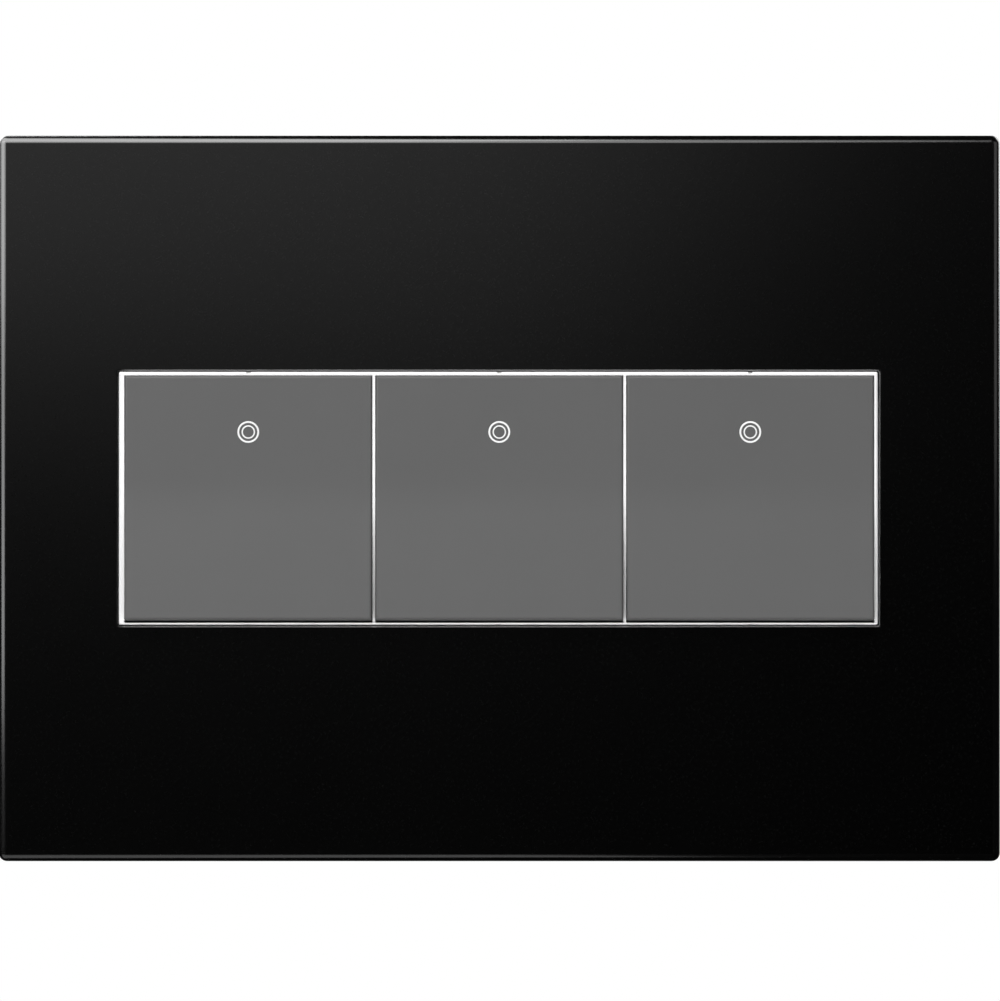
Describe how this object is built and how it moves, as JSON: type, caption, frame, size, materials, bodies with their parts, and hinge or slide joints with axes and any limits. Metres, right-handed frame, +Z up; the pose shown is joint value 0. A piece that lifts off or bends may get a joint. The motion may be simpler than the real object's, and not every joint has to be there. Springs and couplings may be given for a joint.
{
  "type": "rocker switch wall plate",
  "caption": "Wide black screwless wall plate snapped over a row of square grey rocker switches in bright trim, with steel frame, housings and contacts behind.",
  "frame": {"origin": "centre of the wall plate, in the plane of the finished wall", "axes": "+X to the right as seen from the room, +Y into the wall, +Z up"},
  "size_m": [0.1798, 0.0418, 0.1304],
  "materials": {
    "cover_black": "satin black moulded plastic with a fine sparkle",
    "trim_white": "bright satin white",
    "frame_steel": "zinc-plated sheet steel",
    "screw_steel": "zinc-plated",
    "paddle_grey": "satin grey moulded plastic",
    "ring_white": "satin white inlay",
    "chassis_dark": "fine-textured dark moulding",
    "housing_cream": "fine-textured thermoset moulding",
    "spring_steel": "drawn spring wire",
    "plunger_dark": "smooth slippery moulding",
    "contact_brass": "rolled sheet brass",
    "screw_brass": "turned brass",
    "ground_green": "green-dyed plated steel"
  },
  "bodies": {
    "base": {"mounting_frame": "frame_steel", "frame_screw_1": "screw_steel", "frame_screw_2": "screw_steel", "frame_screw_3": "screw_steel", "frame_screw_4": "screw_steel", "frame_screw_5": "screw_steel", "frame_screw_6": "screw_steel", "chassis_1": "chassis_dark", "housing_1": "housing_cream", "common_terminal_1": "contact_brass", "common_screw_1": "screw_brass", "upper_terminal_1": "contact_brass", "upper_screw_1": "screw_brass", "lower_terminal_1": "contact_brass", "lower_screw_1": "screw_brass", "ground_strap_1": "contact_brass", "ground_screw_1": "ground_green", "chassis_2": "chassis_dark", "housing_2": "housing_cream", "common_terminal_2": "contact_brass", "common_screw_2": "screw_brass", "upper_terminal_2": "contact_brass", "upper_screw_2": "screw_brass", "lower_terminal_2": "contact_brass", "lower_screw_2": "screw_brass", "ground_strap_2": "contact_brass", "ground_screw_2": "ground_green", "chassis_3": "chassis_dark", "housing_3": "housing_cream", "common_terminal_3": "contact_brass", "common_screw_3": "screw_brass", "upper_terminal_3": "contact_brass", "upper_screw_3": "screw_brass", "lower_terminal_3": "contact_brass", "lower_screw_3": "screw_brass", "ground_strap_3": "contact_brass", "ground_screw_3": "ground_green"},
    "cover": {"cover_plate": "cover_black", "trim_frame": "trim_white"},
    "rocker_1": {"paddle_1": "paddle_grey", "outer_ring_1": "ring_white", "inner_ring_1": "ring_white", "spring_1": "spring_steel", "plunger_1": "plunger_dark"},
    "seesaw_1": {"contact_arm_1": "contact_brass"},
    "rocker_2": {"paddle_2": "paddle_grey", "outer_ring_2": "ring_white", "inner_ring_2": "ring_white", "spring_2": "spring_steel", "plunger_2": "plunger_dark"},
    "seesaw_2": {"contact_arm_2": "contact_brass"},
    "rocker_3": {"paddle_3": "paddle_grey", "outer_ring_3": "ring_white", "inner_ring_3": "ring_white", "spring_3": "spring_steel", "plunger_3": "plunger_dark"},
    "seesaw_3": {"contact_arm_3": "contact_brass"}
  },
  "joints": [
    {"name": "cover_pull", "type": "slide", "parent": "base", "child": "cover", "axis": [0, -1, 0], "range_m": [0, 0.02]},
    {"name": "paddle_rock_1", "type": "hinge", "parent": "base", "child": "rocker_1", "pos_m": [-0.045, -0.0062, 0], "axis": [1, 0, 0], "range_deg": [0, 5.5]},
    {"name": "contact_flip_1", "type": "hinge", "parent": "base", "child": "seesaw_1", "pos_m": [-0.045, 0.01, 0], "axis": [1, 0, 0], "range_deg": [-8, 0]},
    {"name": "paddle_rock_2", "type": "hinge", "parent": "base", "child": "rocker_2", "pos_m": [0, -0.0062, 0], "axis": [1, 0, 0], "range_deg": [0, 5.5]},
    {"name": "contact_flip_2", "type": "hinge", "parent": "base", "child": "seesaw_2", "pos_m": [0, 0.01, 0], "axis": [1, 0, 0], "range_deg": [-8, 0]},
    {"name": "paddle_rock_3", "type": "hinge", "parent": "base", "child": "rocker_3", "pos_m": [0.045, -0.0062, 0], "axis": [1, 0, 0], "range_deg": [0, 5.5]},
    {"name": "contact_flip_3", "type": "hinge", "parent": "base", "child": "seesaw_3", "pos_m": [0.045, 0.01, 0], "axis": [1, 0, 0], "range_deg": [-8, 0]}
  ],
  "couplings": [
    {"joint": "contact_flip_1", "follows": "paddle_rock_1", "ratio": -1.4545},
    {"joint": "contact_flip_2", "follows": "paddle_rock_2", "ratio": -1.4545},
    {"joint": "contact_flip_3", "follows": "paddle_rock_3", "ratio": -1.4545}
  ]
}
